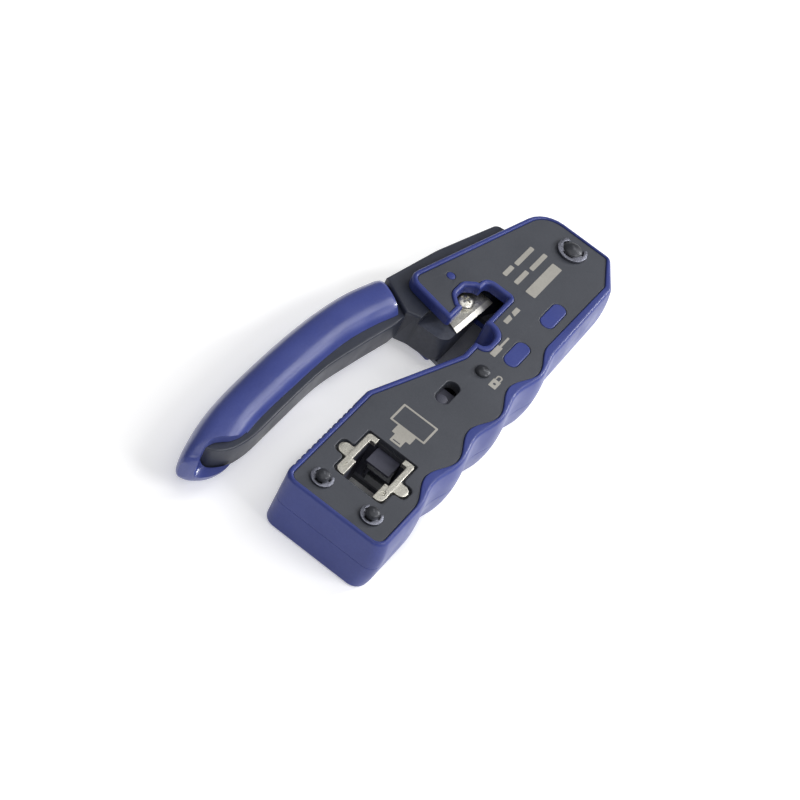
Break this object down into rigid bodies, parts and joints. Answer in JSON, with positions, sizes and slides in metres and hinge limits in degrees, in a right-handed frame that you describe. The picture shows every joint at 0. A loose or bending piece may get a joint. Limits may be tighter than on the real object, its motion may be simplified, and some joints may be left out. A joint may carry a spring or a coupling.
{
  "type": "rj45 crimping tool",
  "caption": "Hand crimping tool for eight-way modular plugs: moulded body with plug pocket, squeezed sprung handle, cable notch with blade, and sliding lock.",
  "frame": {"origin": "centre of the bounding box in plan, on the plane of the back face, with the handle open as in the rest pose", "axes": "+X runs along the tool from the plug pocket to the handle pivot, +Y points from the body to the moving handle, +Z points out of the front face"},
  "size_m": [0.1542, 0.0616, 0.0217],
  "materials": {
    "skin": "smooth soft-touch blue overmould",
    "shell": "fine-textured dark grey moulding",
    "arm": "dark grey satin moulding",
    "steel": "stamped steel",
    "silver": "bright satin steel",
    "black": "blackened steel"
  },
  "bodies": {
    "body": {"front_overmould": "skin", "back_overmould": "skin", "front_shell": "shell", "back_shell": "shell", "front_frame_plate": "black", "back_frame_plate": "steel", "plug_nest": "black", "die_plate_pin1": "silver", "die_plate_pin8": "silver", "overmould_island_1": "skin", "overmould_island_2": "skin", "overmould_island_3": "skin", "die_pin_1": "black", "die_pin_8": "black", "die_clip_1": "black", "die_clip_8": "black", "pivot_pin": "black", "pivot_clip": "black", "cover_screw": "black", "return_spring": "steel"},
    "handle": {"handle_arm": "arm", "grip_sleeve": "skin", "cutting_blade": "silver", "blade_screw": "silver", "crank_pin": "steel"},
    "link": {"drive_link": "steel"},
    "ram": {"drive_bar": "steel", "bar_pin": "steel", "punch_block": "black", "trimming_blade": "black", "contact_comb": "steel", "cord_presser": "steel"},
    "lock": {"lock_slider": "black"}
  },
  "joints": [
    {"name": "handle_hinge", "type": "hinge", "parent": "body", "child": "handle", "pos_m": [0.06925, -0.01095, 0.0098], "axis": [0, 0, 1], "range_deg": [0, 5.5], "stiffness_Nm_per_rad": 0.4, "springref_deg": -14.32},
    {"name": "link_pivot", "type": "hinge", "parent": "handle", "child": "link", "pos_m": [0.06195, -0.00105, 0.0098], "axis": [0, 0, 1], "range_deg": [-8.3, 0.1]},
    {"name": "ram_slide", "type": "slide", "parent": "body", "child": "ram", "axis": [-1, 0, 0], "range_m": [0, 0.0017], "deforming": ["return_spring"]},
    {"name": "lock_slide", "type": "slide", "parent": "body", "child": "lock", "axis": [1, 0, 0], "range_m": [0, 0.0052]}
  ],
  "couplings": [
    {"joint": "link_pivot", "follows": "handle_hinge", "ratio": -1.4612},
    {"joint": "ram_slide", "follows": "handle_hinge", "m_per_rad": 0.016907}
  ]
}
